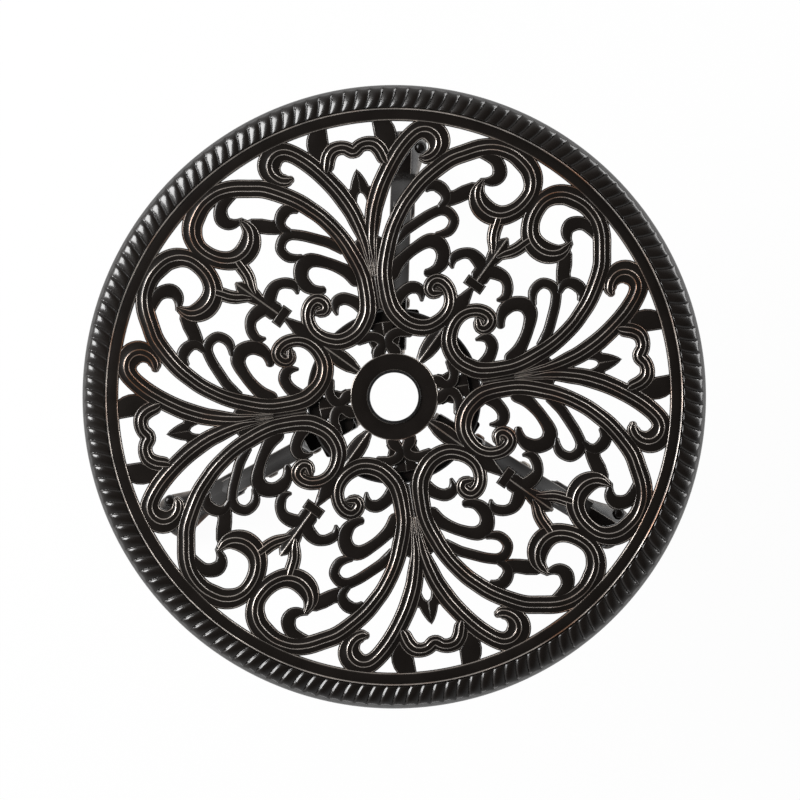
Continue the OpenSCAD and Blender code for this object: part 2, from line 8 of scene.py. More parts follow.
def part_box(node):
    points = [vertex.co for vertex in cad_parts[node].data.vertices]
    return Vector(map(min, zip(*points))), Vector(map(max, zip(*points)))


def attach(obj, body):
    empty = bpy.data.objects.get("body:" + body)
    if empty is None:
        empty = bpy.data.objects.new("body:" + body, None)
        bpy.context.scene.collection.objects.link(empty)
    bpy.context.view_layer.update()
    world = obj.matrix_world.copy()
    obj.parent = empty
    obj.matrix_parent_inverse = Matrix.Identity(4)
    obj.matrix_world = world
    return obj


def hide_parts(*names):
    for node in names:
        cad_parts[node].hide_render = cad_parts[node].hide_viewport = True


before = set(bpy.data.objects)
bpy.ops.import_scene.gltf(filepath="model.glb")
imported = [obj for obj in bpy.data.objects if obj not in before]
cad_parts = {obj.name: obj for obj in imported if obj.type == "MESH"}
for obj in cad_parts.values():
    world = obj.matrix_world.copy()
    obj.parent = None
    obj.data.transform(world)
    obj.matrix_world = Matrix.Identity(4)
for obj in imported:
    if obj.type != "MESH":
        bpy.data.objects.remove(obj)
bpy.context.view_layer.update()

# ---------------------------------------------------------------- table top
# The top is one sand casting in aluminium: a round hub, scrollwork in four palmettes and a
# gadrooned rim. It is powder coated almost black. On its edges a copper brown is rubbed, and pale
# metal is painted on as highlight lines.
mm = 0.001
top_low, top_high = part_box("top_casting")
top_r = top_high.x
rim_z = top_high.z
rim_w = 46 * mm
gadroon_w = 31 * mm
bead_r = top_r - gadroon_w
rim_in = top_r - rim_w
plate_z = rim_z - 2 * mm
plate_t = 9 * mm
# The scrollwork is drawn in mm inside a rim of this inner radius, and unit scales it to metres.
drawn_r = 354
unit = rim_in / drawn_r


class Link:
    """A shader output that can be added and multiplied in Python."""

    def __init__(self, nodes, socket):
        self.nodes = nodes
        self.socket = socket

    def maths(self, operation, *terms):
        return self.nodes.add("Math", {"operation": operation}, dict(enumerate(terms)))

    def __add__(self, other):
        return self.maths("ADD", self, other)

    def __radd__(self, other):
        return self.maths("ADD", other, self)

    def __mul__(self, other):
        return self.maths("MULTIPLY", self, other)


class Nodes:
    """Adds nodes to a shader tree."""

    def __init__(self, tree):
        self.tree = tree

    def put(self, socket, value):
        if isinstance(value, Link):
            self.tree.links.new(value.socket, socket)
        else:
            socket.default_value = value

    def add(self, kind, settings, values, output=0):
        """A node of that kind; values maps an input's name or number to a number or a link."""
        node = self.tree.nodes.new("ShaderNode" + kind)
        for name, value in settings.items():
            setattr(node, name, value)
        for key, value in values.items():
            self.put(node.inputs[key], value)
        return Link(self, node.outputs[output])

    def ramp(self, factor, *stops):
        """A colour ramp; a stop is (place, colour)."""
        link = self.add("ValToRGB", {}, {0: factor})
        elements = link.socket.node.color_ramp.elements
        while len(elements) < len(stops):
            elements.new(0.5)
        for element, (place, colour) in zip(elements, stops):
            element.position = place
            element.color = colour
        return link


class Finish(Nodes):
    """A new material; set() fills the sockets of its Principled shader."""

    def __init__(self, name, **constants):
        self.material = bpy.data.materials.new(name)
        self.material.use_nodes = True
        super().__init__(self.material.node_tree)
        self.shader = self.tree.nodes["Principled BSDF"]
        self.set(**constants)
        self.place = self.add("NewGeometry", {}, {})

    def set(self, **values):
        for name, value in values.items():
            self.put(self.shader.inputs[name.replace("_", " ")], value)

    def noise(self, scale, detail=2.0):
        return self.add("TexNoise", {}, {"Vector": self.place, "Scale": scale, "Detail": detail})

    def bump(self, height, strength, distance):
        return self.add("Bump", {}, {"Strength": strength, "Distance": distance, "Height": height})


def grey(value):
    return (value, value, value, 1)


def cast_bronze(name, dark, light, rub_and_highlight_share, gloss=0.5):
    """Powder coat on a casting, with copper rub and pale metal as painted highlight where edges are
    marked.
    """
    f = Finish(name, IOR=1.3 + 0.4 * gloss, Coat_Roughness=0.1)
    cloud = f.noise(34.0, 4.0)
    # The edge mask and its metal are partly a copper brown rub and partly painted highlight: pale
    # metal on rounded edges that stands in for their thin bright lines of light.
    worn_and_highlit = f.add("Attribute", {"attribute_name": "rubbed_and_highlit"}, {}, "Fac")
    mask = worn_and_highlit * f.ramp(cloud, (0.35, grey(0.4)), (0.6, grey(1))) * rub_and_highlight_share
    metal = f.ramp(f.noise(11.0), (0.33, (0.34, 0.16, 0.08, 1)), (0.46, (0.64, 0.57, 0.51, 1)))
    coat = f.add("Mix", {"data_type": "RGBA"}, {0: cloud, 6: dark, 7: light}, 2)
    f.set(
        Base_Color=f.add("Mix", {"data_type": "RGBA"}, {0: mask, 6: coat, 7: metal}, 2),
        Metallic=mask, Roughness=0.2 + cloud * 0.14, Coat_Weight=gloss,
        Normal=f.bump(f.noise(420.0) + f.noise(1500.0) * 0.35, 0.12, 0.0001))
    return f.material


coat_dark = (0.0075, 0.006, 0.005, 1)
coat_light = (0.012, 0.009, 0.0075, 1)
bronze = cast_bronze("bronze_top", coat_dark, coat_light, 1.0)


def smooth(points, steps):
    """Rows of numbers on a Catmull-Rom curve through the given rows."""
    p = np.array(points, float)
    p = np.vstack([2 * p[0] - p[1], p, 2 * p[-1] - p[-2]])
    t = np.linspace(0, 1, steps, endpoint=False)[:, None]
    rows = []
    for a, b, c, d in zip(p, p[1:], p[2:], p[3:]):
        rows.append(
            0.5 * (2 * b + (c - a) * t + (2 * a - 5 * b + 4 * c - d) * t * t
                   + (3 * b - a - 3 * c + d) * t ** 3))
    return np.vstack(rows + [p[-2:-1]])


# A section lists (distance from the middle, height, how far the rub and painted highlight show) in
# mm for half a band of half width h. The ledge runs round the scrolls below their rounded edge.
ledge = 1.1


def lip(h, drop, rub_and_highlight):
    """The rounded edge of a band, the narrow ledge below it and the side."""
    return [
        (h - 1.0, -drop, 0), (h - 0.7, -0.15 - drop, rub_and_highlight), (h - 0.2, -0.75 - drop, rub_and_highlight),
        (h, -1.5, 0), (h + 0.05, -2.3, 0), (h + ledge, -2.35, 0),
        (h + ledge, -8.2, 0), (h + ledge - 0.7, -9, 0)]


def corded(h):
    """A flat band with a raised cord down its middle."""
    c = min(1, max(0.3, (h - 2.2) / 4.6))
    return [
        (0, 1.5 * c, 0), (2.5 * c, 1.45 * c, 0), (3.15 * c, 1.25 * c, 1), (3.55 * c, 0.8 * c, 0.8),
        (3.85 * c, 0.2, 0), (4.3 * c, 0, 0), (max(h - 2, 4.5 * c), 0.1, 0)] + lip(h, 0, 0.85)


def plain(h):
    """A band with a low round back."""
    return [(0, 0.6, 0), (0.5 * h, 0.5, 0), (max(0.6 * h, h - 2.2), 0.25, 0)] + lip(h, 0, 0.35)


def keeled(h):
    """A leaf with a sharp keel down its middle."""
    return [(0, 1.1, 1), (0.45, 0.95, 0.8), (1.0, 0.7, 0), (0.4 * h, 0.2, 0)] + lip(h, 0.2, 0.6)


# An edge is shaded as sharp where its faces turn by more than this.
sharp_from = math.radians(50)


class Casting:
    """Collects rings of points and makes one mesh of them."""

    def __init__(self):
        self.points = []
        self.faces = []
        self.rub_and_highlight = []
        self.count = 0

    def grid(self, points, rub_and_highlight, closed=False):
        """points[i, j]: ring i, place j round the ring. The rings are capped unless closed."""
        n, m = points.shape[:2]
        at = lambda i, j: self.count + (i % n) * m + j % m
        for i in range(n if closed else n - 1):
            for j in range(m):
                self.faces.append((at(i, j), at(i, j + 1), at(i + 1, j + 1), at(i + 1, j)))
        if not closed:
            self.faces.append(tuple(at(0, j) for j in reversed(range(m))))
            self.faces.append(tuple(at(n - 1, j) for j in range(m)))
        self.points.append(points.reshape(-1, 3))
        self.rub_and_highlight.append(np.broadcast_to(rub_and_highlight, (n, m)).reshape(-1))
        self.count += n * m

    def copies(self, places):
        """Repeats everything so far; a place is a 3 x 3 matrix."""
        points = np.vstack(self.points)
        faces = list(self.faces)
        rub_and_highlight = np.concatenate(self.rub_and_highlight)
        self.points, self.faces, self.rub_and_highlight, self.count = [], [], [], 0
        for place in places:
            turned = points @ np.array(place).T
            flip = np.linalg.det(np.array(place)) < 0
            for face in faces:
                face = tuple(i + self.count for i in face)
                self.faces.append(face[::-1] if flip else face)
            self.points.append(turned)
            self.rub_and_highlight.append(rub_and_highlight)
            self.count += len(points)

    def join(self, other):
        """Takes over another casting's rings."""
        for face in other.faces:
            self.faces.append(tuple(i + self.count for i in face))
        self.points += other.points
        self.rub_and_highlight += other.rub_and_highlight
        self.count += other.count

    def piece(self, name, material):
        mesh = bpy.data.meshes.new(name)
        mesh.from_pydata(np.vstack(self.points).tolist(), [], self.faces)
        rub_and_highlight = mesh.attributes.new("rubbed_and_highlit", "FLOAT", "POINT")
        rub_and_highlight.data.foreach_set("value", np.concatenate(self.rub_and_highlight).astype(np.float32))
        mesh.materials.append(material)
        mesh.validate()
        mesh.shade_smooth()
        mesh.set_sharp_from_angle(angle=sharp_from)
        piece = bpy.data.objects.new(name, mesh)
        bpy.context.scene.collection.objects.link(piece)
        return piece


def turn(degrees):
    """The matrix of a turn about the Z axis."""
    c, s = math.cos(math.radians(degrees)), math.sin(math.radians(degrees))
    return np.array([[c, -s, 0], [s, c, 0], [0, 0, 1]])


# Steps of a curve between two points of its path, least half width of a band, share of a
# bend's radius that the band's inner side may reach, and the fans of rings at its ends.
curve_steps = 3
least_half = 0.6
inner_share = 0.93
fan = (22, 45, 66, 84)


def band(casting, points, section, sink=0.0):
    """A band of metal along a flat path of (x, y, width) rows, round at both ends."""
    path = smooth(points, curve_steps)
    centre, half = path[:, :2], np.maximum(path[:, 2] / 2, least_half)
    along = np.gradient(centre, axis=0)
    along /= np.linalg.norm(along, axis=1)[:, None]
    step = np.maximum(np.linalg.norm(np.gradient(centre, axis=0), axis=1), 1e-6)
    bend = np.gradient(np.unwrap(np.arctan2(along[:, 1], along[:, 0]))) / step
    rings = []
    for end, angles in ((0, fan[::-1]), (None, ()), (-1, fan)):
        if end is None:
            rings += [(c, a, h, 1, b) for c, a, h, b in zip(centre, along, half, bend)]
            continue
        way = -along[0] if end == 0 else along[-1]
        for a in angles:
            a = math.radians(a)
            rings.append((centre[end] + way * half[end] * math.sin(a), along[end], half[end],
                          math.cos(a), 0))
    out, rubs_and_highlights = [], []
    for c, a, h, squeeze, b in rings:
        rows = section(h)
        rows = [(-s, z, r) for s, z, r in rows[:0:-1]] + rows
        limit = inner_share / max(abs(b), 1e-4)
        left = np.array([-a[1], a[0]])
        ring = []
        for s, z, _ in rows:
            s *= squeeze
            if s * b > 0:
                s = math.copysign(min(abs(s), limit), s)
            ring.append((*(c + left * s), z - sink))
        out.append(ring)
        rubs_and_highlights.append([r for _, _, r in rows])
    casting.grid(np.array(out)[:, ::-1], np.array(rubs_and_highlights)[:, ::-1])


def slab(casting, outline, raise_by=0.0, edge=1):
    """A flat leaf cut to an outline, with a rounded upper edge and, where edge is 1, the ledge."""
    p = np.array(outline, float)
    if np.sum(p[:, 0] * np.roll(p[:, 1], -1) - p[:, 1] * np.roll(p[:, 0], -1)) < 0:
        p = p[::-1]
    before, after = p - np.roll(p, 1, axis=0), np.roll(p, -1, axis=0) - p
    before /= np.linalg.norm(before, axis=1)[:, None]
    after /= np.linalg.norm(after, axis=1)[:, None]
    inward = np.stack([-before[:, 1] - after[:, 1], before[:, 0] + after[:, 0]], axis=1)
    inward /= np.maximum(np.sum(inward ** 2, axis=1)[:, None] / 2, 0.6)
    rings, rubs_and_highlights = [], []
    out = ledge if edge == 1 else 0
    profile = [
        (0.6 - out, -9, 0), (-out, -8.2, 0), (-out, -2.35, 0), (-0.05, -2.3, 0), (0, -1.5, 0),
        (0.15, -0.8, 0.3), (0.45, -0.25, 0.4), (0.8, -0.05, 0), (2.2, 0.1, 0)]
    for inset, z, r in profile:
        ring = p + inward * inset * edge
        # The underside follows only a tenth of the way, so that no two leaves end in one plane.
        height = z + raise_by * (1 if z > -5 else 0.1)
        rings.append(np.column_stack([ring, np.full(len(p), height)]))
        rubs_and_highlights.append([r] * len(p))
    casting.grid(np.array(rings), np.array(rubs_and_highlights))


# Paths of one eighth of the scrollwork, (x, y, width) in mm.
main_scroll = [
    [76, 122, 12], [70, 123, 14], [67.5, 129, 16], [71.5, 135.5, 17], [78.5, 138, 17],
    [86, 133.8, 17], [91, 125.5, 16.5], [92.5, 116, 16], [91.5, 107, 16.5], [87.5, 98, 17.5],
    [80, 90, 18.5], [71, 84.5, 19.5], [60, 81, 20.5], [49, 81.5, 21], [38, 85.5, 21.5],
    [29, 92, 21.5], [21.5, 101.5, 22], [16, 112, 22], [13.5, 126, 21], [13, 140, 20],
    [13.5, 155, 20], [16, 168, 20], [19.8, 180, 20], [24, 191, 20], [28.8, 203, 19.5],
    [37.9, 220, 18.5], [52.7, 240.4, 18.8], [65.6, 253.4, 19.2], [79.5, 265.6, 20],
    [97.8, 277.4, 20.5], [120.6, 289, 21.5], [140, 293, 21.5], [160.5, 295.9, 22],
    [178, 294.5, 21.5], [192, 289, 22], [203.8, 281, 23.5], [213, 270, 25.5], [219, 259, 25],
    [221, 248, 24.5], [219.8, 238, 22.5], [215.4, 228, 21], [207, 218.8, 21],
    [197.5, 212, 21.5], [188, 208, 22], [178, 206.2, 23.5], [168.5, 207.3, 25.5],
    [158.7, 212.3, 27.5], [151.3, 220.7, 27.5], [147.8, 230.6, 24.5], [148, 240, 19.5],
    [151.5, 247.5, 13], [156, 253, 8]]
hook_strand = [
    [2.5, 158, 4], [3.2, 175, 7], [3.6, 190, 11], [4.2, 200, 13], [5.8, 210, 15.5],
    [7.8, 220, 18.5], [10.5, 230, 20], [13.5, 240, 20.5], [17.5, 250, 21.5], [22, 259.5, 22],
    [27.3, 269.5, 22], [34, 280, 21.5], [41, 290, 21.5], [49.5, 301, 21.5], [59, 311.8, 22],
    [68.5, 320.5, 21.5], [77, 327, 21.5], [85.5, 331.3, 23], [94, 332, 26],
    [102.5, 328.6, 28.5], [108.6, 320.8, 29.5], [109.5, 311.5, 28], [105.5, 303, 23],
    [98, 297, 17], [90, 295, 14.5], [84.5, 296, 8]]
inner_hook = [
    [160, 292, 14], [170, 285, 15], [178, 277, 15.5], [181, 268, 16.5], [180, 259.5, 17.5],
    [174.5, 253.5, 15], [167.5, 252, 12], [161, 253, 8], [155, 255, 5]]
heart_band = [
    [-6, 321.5, 16.5], [0, 318.5, 17], [9, 324, 16.5], [18, 325.7, 17], [27.5, 323, 18.5],
    [33.8, 315, 19], [37, 305, 18]]
finger_1 = [
    [84, 254.5, 5], [89, 257.5, 10], [96, 258.5, 14.5], [103.5, 253.5, 15], [108, 244, 13],
    [105.5, 236, 11], [99, 231, 8]]
finger_2 = [
    [36, 193, 4], [42, 201, 10], [50, 208, 12], [60, 213, 12], [70, 217.5, 12],
    [80, 221.8, 12], [90, 225, 12], [98, 226.3, 12.5], [106, 223.5, 12.5], [111, 217, 12],
    [112.5, 210, 12], [109, 202.5, 11.5], [103, 197.3, 11], [95, 195.5, 9], [88, 196, 6]]
finger_3 = [
    [23, 157, 20], [31, 166, 17], [40, 173, 14.5], [50, 179.5, 13.5], [60, 184.5, 13.8],
    [70, 188.5, 15.5], [79, 189.5, 18], [88, 185, 19], [92, 175.5, 17.8], [91.5, 166, 17],
    [87, 157.8, 16], [80, 152.2, 12.5], [72, 149.8, 10.5], [67.5, 149.8, 9]]
finger_4 = [
    [22, 120, 16], [28, 126.5, 15], [36, 132, 14], [45, 134.8, 14.5], [53.5, 131.3, 13.5],
    [56, 124, 8.5], [55, 115.5, 2.5]]
fleur_curl = [
    [100.7, 150.5, 2.5], [100.7, 156, 7.5], [103.5, 162.3, 11.5], [111, 166, 12.5],
    [119, 166.8, 12.5], [127, 164.5, 14], [132.5, 159, 16], [136.5, 152, 17],
    [139.5, 143, 17.5], [140, 135, 15.5], [137, 129, 12]]
spear_arc = [
    [155.5, 163, 10], [157.3, 170, 13], [158.5, 179, 15], [161, 187, 15.5], [165, 195, 16],
    [168, 201, 16]]
hub_scroll = [
    [11, 52, 14], [10.8, 56, 15.5], [9.5, 60, 15.5], [6.5, 64, 13.5], [4.6, 67.5, 12.5],
    [4.2, 71.5, 12.5], [6.8, 76.3, 13], [13, 79.8, 12.5], [21, 80.8, 12.5], [28, 79.3, 12],
    [33, 77, 9]]
# Outlines of its flat leaves, (x, y) in mm.
rim_leaf = [
    [30, 357], [30.4, 334], [36, 325], [40, 310], [51, 316], [57, 326], [57.6, 335],
    [56, 343], [52, 351], [53, 357]]
link_leaf = [
    [105, 231], [109, 229.8], [116, 230.2], [125, 231.9], [138, 235.4], [142, 243],
    [147, 253], [143, 254], [130, 251.8], [118, 247.6], [110, 248]]
heart_leaf = [
    [0, 295], [3.2, 290.4], [6.4, 284.8], [9.2, 278.5], [11.4, 271.5], [15, 270], [15, 262],
    [9, 252], [7, 254], [5.8, 259.2], [3.8, 263.3], [0, 266]]
# Low webs that show only in the gaps between the scrolls, next to the hub and on the axis.
hub_web = [
    [8, 58], [17, 56.5], [19, 60], [17, 66], [19.5, 72], [20, 77], [12, 78], [6, 72]]
throat_web = [[0, 78], [5, 80], [16, 92], [16, 96], [0, 97]]
axis_web = [
    [0, 114.5], [4.5, 112], [12, 115], [14, 150], [17, 190], [17.5, 203], [14, 205.5],
    [8, 203], [2, 200], [0, 200]]
# Leaves on the diagonal: distance along it and width, in mm.
spear_leaf = [
    [180, 18], [190, 16], [203, 14], [212, 14.4], [217, 17.6], [223, 20], [230, 19.6],
    [238, 16.8], [244, 11.6], [249, 3]]
base_leaf = [[138, 22], [146, 21], [151.7, 17.8], [156, 14], [161, 11.2], [169, 6], [173, 5]]
spoke_leaf = [[60.5, 12], [64, 14.5], [69, 18], [76, 20.3], [85, 21.5], [94, 18], [106, 8]]

# Where bands cross, the one that passes below is sunk by the last number.
eighth = Casting()
band(eighth, finger_4, plain, 0.9)
band(eighth, finger_3, plain, 0.7)
band(eighth, finger_2, plain, 0.8)
band(eighth, finger_1, plain, 0.75)
band(eighth, fleur_curl, plain, 0.65)
band(eighth, inner_hook, plain, 0.6)
band(eighth, hub_scroll, plain, 0.75)
band(eighth, spear_arc, corded, 0.5)
band(eighth, heart_band, corded, 0.35)
band(eighth, hook_strand, corded, 0.2)
band(eighth, main_scroll, corded, 0.0)
slab(eighth, rim_leaf, -0.9)
slab(eighth, link_leaf, -0.95)
slab(eighth, heart_leaf, -0.8)
slab(eighth, axis_web, -1.3)
slab(eighth, hub_web, -3)
slab(eighth, throat_web, -4)
eye_x, eye_y, eye_r = 78, 127, 9
spiral_eye = [(eye_x + eye_r * math.cos(a), eye_y + eye_r * math.sin(a))
              for a in np.linspace(0, 2 * math.pi, 24, endpoint=False)]
slab(eighth, spiral_eye, -0.5)
# The mirrored half is a hair thinner, so that no two faces lie in one plane where halves overlap.
hair = 0.997
mirror = np.diag([-1, 1, hair])
eighth.copies([turn(a) @ m for a in (0, 90, 180, 270) for m in (np.eye(3), mirror)])

diagonal = Casting()
for leaf, section in ((spoke_leaf, keeled), (base_leaf, plain), (spear_leaf, keeled)):
    band(diagonal, [(d, 0, w) for d, w in leaf], section, 0.3)
clasp = [(171, -12.5), (182.5, -12.5), (182.5, 12.5), (171, 12.5)]
slab(diagonal, clasp, 0.9)
diagonal.copies([turn(a) for a in (45, 135, 225, 315)])

top = Casting()
top.join(eighth)
top.join(diagonal)
top.points = [p * unit + np.array([0, 0, plate_z]) for p in top.points]


def lathe(casting, profile, rubs_and_highlights, segments=192):
    """A closed profile of (radius, height) rows turned round the Z axis."""
    angles = np.linspace(0, 2 * math.pi, segments, endpoint=False)
    p = np.array(profile, float)
    rings = [np.column_stack([p[:, 0] * math.cos(a), p[:, 0] * math.sin(a), p[:, 1]])
             for a in angles]
    casting.grid(np.array(rings), np.array(rubs_and_highlights, float), closed=True)


# The hub: a flat ring round the umbrella hole, on a boss that is deeper than the plate. Rows are
# (radius, height), and a second list says how far the rub and painted highlight show on each.
lip_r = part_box("umbrella_ring")[1].x
sleeve_r = lip_r - 1.25 * mm
hub_r = 56 * mm
hub_profile = [
    (sleeve_r, top_low.z), (sleeve_r, plate_z - 0.8 * mm), (lip_r + 0.1 * mm, plate_z - 0.8 * mm),
    (lip_r + 0.1 * mm, plate_z - 0.3 * mm), (lip_r + 0.35 * mm, plate_z - 0.05 * mm),
    (lip_r + 0.8 * mm, plate_z), (hub_r - 2 * mm, plate_z), (hub_r - 1 * mm, plate_z),
    (hub_r - 0.55 * mm, plate_z - 0.25 * mm), (hub_r - 0.15 * mm, plate_z - 0.8 * mm),
    (hub_r, plate_z - 1.6 * mm), (hub_r, plate_z - plate_t + 1 * mm),
    (hub_r - 1 * mm, plate_z - plate_t), (sleeve_r + 12 * mm, plate_z - plate_t),
    (sleeve_r + 10 * mm, plate_z - plate_t - 2 * mm), (sleeve_r + 9 * mm, top_low.z + 1 * mm),
    (sleeve_r + 8 * mm, top_low.z)]
hub_rub_and_highlight = [0, 0, 0, 0, 0.6, 0, 0, 0.1, 1, 0.7, 0, 0, 0, 0, 0, 0, 0]
lathe(top, hub_profile, hub_rub_and_highlight)

# The rim: a flat band, a fine bead, then slanted gadroons that run out on a smooth outer roll.
# Rows are (radius, mm above the rim's highest line, how far the rub and painted highlight show).
gadroons = 150
slant = math.radians(1.3)
gadroon_r = bead_r + 1.2 * mm
flat_part = [
    (rim_in + 4.5 * mm, -11.0, 0), (rim_in - 0.4 * mm, -11.0, 0), (rim_in - 0.9 * mm, -10.4, 0),
    (rim_in - 0.9 * mm, -3.5, 0), (rim_in, -3.4, 0), (rim_in + 0.15 * mm, -2.6, 0.7),
    (rim_in + 0.55 * mm, -1.95, 1), (rim_in + 1.1 * mm, -1.7, 0.1),
    (rim_in + 2.4 * mm, -1.5, 0), (bead_r - 3 * mm, -1.5, 0),
    (bead_r - 1.5 * mm, -1.7, 0), (bead_r - 1.0 * mm, -0.9, 0.2), (bead_r - 0.5 * mm, -0.25, 0.9),
    (bead_r, 0.0, 0.6), (bead_r + 0.5 * mm, -0.35, 0.2), (bead_r + 0.9 * mm, -1.4, 0)]
# A lobe's lines: distance in mm from the first, height of the lobes' backs and of the grooves.
lobe_lines = smooth([
    (0, -2.6, -2.6), (1.2, -0.9, -2.7), (3, -0.35, -2.9), (8, -0.3, -3.2), (14, -0.9, -4.1),
    (19, -2.2, -5.6), (22.5, -4.0, -7.0), (25.2, -6.4, -8.3), (26.6, -8.6, -9.2)], steps=5)
outer_part = [
    (top_r - 4.4 * mm, -11.2, 0), (top_r - 2.8 * mm, -13.2, 0), (top_r - 1.5 * mm, -15.2, 0),
    (top_r - 0.5 * mm, -17.0, 0), (top_r, -18.2, 0), (top_r - 0.3 * mm, -19.3, 0),
    (top_r - 1.2 * mm, -20.8, 0), (top_r - 2.0 * mm, -21.6, 0), (top_r - 3.0 * mm, -22, 0),
    (top_r - 4.6 * mm, -22, 0), (top_r - 6.5 * mm, -17, 0), (top_r - 9 * mm, -12, 0),
    (top_r - 14 * mm, -10, 0), (bead_r + 5 * mm, -8.8, 0), (rim_in + 6.5 * mm, -8.8, 0),
    (rim_in + 5.5 * mm, -9.8, 0)]
# How a lobe's slant fades outwards, how far its crest leans to one side, and how full it is.
fade, lean, fullness = 1.8, 0.7, 0.6
points_per_lobe = 16
theta = np.linspace(0, 2 * math.pi, gadroons * points_per_lobe, endpoint=False)
columns, rubs_and_highlights = [], []
for r, z, rub_and_highlight in flat_part:
    columns.append((np.full_like(theta, r), np.full_like(theta, z)))
    rubs_and_highlights.append(np.full_like(theta, rub_and_highlight))
for step, crown, groove in lobe_lines:
    share = step / lobe_lines[-1][0]
    phase = gadroons * (theta + slant * (1 - (1 - share) ** fade)) / (2 * math.pi)
    lobe = np.abs(np.sin(math.pi * (phase % 1) ** lean)) ** fullness
    columns.append((np.full_like(theta, gadroon_r + step * mm), groove + (crown - groove) * lobe))
    rubs_and_highlights.append(0 * theta)
for r, z, rub_and_highlight in outer_part:
    columns.append((np.full_like(theta, r), np.full_like(theta, z)))
    rubs_and_highlights.append(np.full_like(theta, rub_and_highlight))
rim = np.stack([np.stack([r * np.cos(theta), r * np.sin(theta), rim_z + z * mm], axis=1)
                for r, z in columns], axis=1)
top.grid(rim[:, ::-1], np.stack(rubs_and_highlights, axis=1)[:, ::-1], closed=True)

table_top = top.piece("table_top", bronze)
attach(table_top, "table")
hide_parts("top_casting")

# ---------------------------------------------------------------- umbrella ring
# The pole guide is a turned sleeve of black plastic, pushed into the hub. Its thin lip covers
# the edge of the hole.
plastic = Finish("black_plastic", IOR=1.46)
haze = plastic.noise(260.0, 3.0)
plastic.set(
    Base_Color=plastic.ramp(haze, (0.3, (0.006, 0.006, 0.006, 1)), (0.7, (0.012, 0.011, 0.011, 1))),
    Roughness=0.3 + haze * 0.2, Normal=plastic.bump(haze, 0.2, 0.0002))
black_plastic = plastic.material


def dress(nodes, material):
    """Gives CAD pieces that are shown as they are a material and a slot."""
    for name in nodes:
        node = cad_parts[name]
        node.data.materials.clear()
        node.data.materials.append(material)


dress(["umbrella_ring"], black_plastic)

# ---------------------------------------------------------------- mounting ring and its screws
# A flat cast ring screwed under the scrollwork carries the legs. It is coated like the top;
# its three screws and their washers are zinc plated.
dark_bronze = cast_bronze("bronze_ring", coat_dark, coat_light, 0.0)
dress(["mounting_ring"], dark_bronze)

plated = Finish("zinc_plate", Metallic=1.0)
spangle = plated.noise(900.0, 3.0)
plated.set(
    Base_Color=plated.ramp(spangle, (0.3, (0.42, 0.42, 0.43, 1)), (0.7, (0.6, 0.6, 0.61, 1))),
    Roughness=0.25 + spangle * 0.25, Normal=plated.bump(spangle, 0.1, 0.0001))
zinc = plated.material
dress(["ring_screws", "ring_washers"], zinc)

# ---------------------------------------------------------------- legs
# Three aluminium castings, coated dark bronze, bolt up to the mounting ring and to a brace ring at
# the waist. Each is a long S with keeled faces. It widens over the foot, whose flat toe carries two
# round knobs and a boss for the leveller.
# The legs' coat colours are a darker copy of the top's coat: painted shade, for the shadow that the
# table top casts on the legs.
leg_painted_shade_dark = (0.004, 0.003, 0.0028, 1)
leg_painted_shade_light = (0.007, 0.0055, 0.0045, 1)
leg_bronze_painted_shade = cast_bronze("bronze_leg_painted_shade", leg_painted_shade_dark, leg_painted_shade_light, 0.7, 0.1)
first_leg = 79
leg_step = 120
# Paths in a leg's own plane, (distance from the table's axis, height, width) in mm.
leg_path = [
    [100, 690, 24], [114, 674, 27], [119, 646, 27], [113, 606, 26], [100, 563, 25],
    [86, 522, 24.5], [75, 481, 25], [70, 440, 25], [74, 396, 25.5], [86, 350, 26.5],
    [105, 306, 27.5], [132, 264, 29], [165, 226, 31], [199, 192, 34], [230, 156, 34],
    [255, 118, 30], [276, 83, 26], [299, 54, 24]]
leg_flare = [
    [246, 132, 8], [256, 117, 20], [268, 99, 26], [282, 80, 28], [296, 61, 26], [306, 50, 18]]
leg_curl = [
    [150, 236, 9], [163, 200, 12], [182, 176, 13], [198, 172, 12], [204, 184, 10]]
top_curl = [[112, 676, 12], [126, 662, 12], [131, 646, 11], [126, 634, 9], [118, 636, 8]]


def ridged(h, wide=12.5):
    """Leg section: flat sides, and on each face a keel between two thin beads."""
    half = [
        (0, wide, 0), (h - 5.8, wide, 0), (h - 4.9, wide - 0.5, 0.6), (h - 4.7, wide - 1.2, 0),
        (h - 5.1, wide - 2.1, 0), (h - 0.5, 0.9, 0)]
    return half + [(h, 0, 0)] + [(s, -t, r) for s, t, r in half[:0:-1]]


# Turns that stand a flat path up, lay an axis along Y, and lay one along X.
upright = np.array([[1, 0, 0], [0, 0, -1], [0, 1, 0]])
lying = np.array([[1, 0, 0], [0, 0, 1], [0, -1, 0]])
outward = np.array([[0, 0, 1], [0, 1, 0], [-1, 0, 0]])


def box_outline(x0, x1, y0, y1, r):
    """A rectangle with round corners."""
    out = []
    for cx, cy, start in ((x1 - r, y1 - r, 0), (x0 + r, y1 - r, 90), (x0 + r, y0 + r, 180),
                          (x1 - r, y0 + r, 270)):
        for a in range(start, start + 91, 15):
            out.append((cx + r * math.cos(math.radians(a)), cy + r * math.sin(math.radians(a))))
    return out


def spool(casting, profile, rub_and_highlight, centre, matrix=np.eye(3)):
    """A turned piece whose axis is moved to centre and turned by matrix."""
    part = Casting()
    lathe(part, profile, rub_and_highlight, segments=48)
    part.points = [p @ matrix.T + np.array(centre) for p in part.points]
    casting.join(part)


def block(casting, outline, z0, z1):
    """A thick plate with rounded upper and lower edges."""
    part = Casting()
    slab(part, outline, edge=1.2)
    z = part.points[0][:, 2]
    z[:] = np.interp(z, [-9, -8.2, -1.5, 0.1], [z0, z0 + 1, z1 - 1.6, z1])
    casting.join(part)


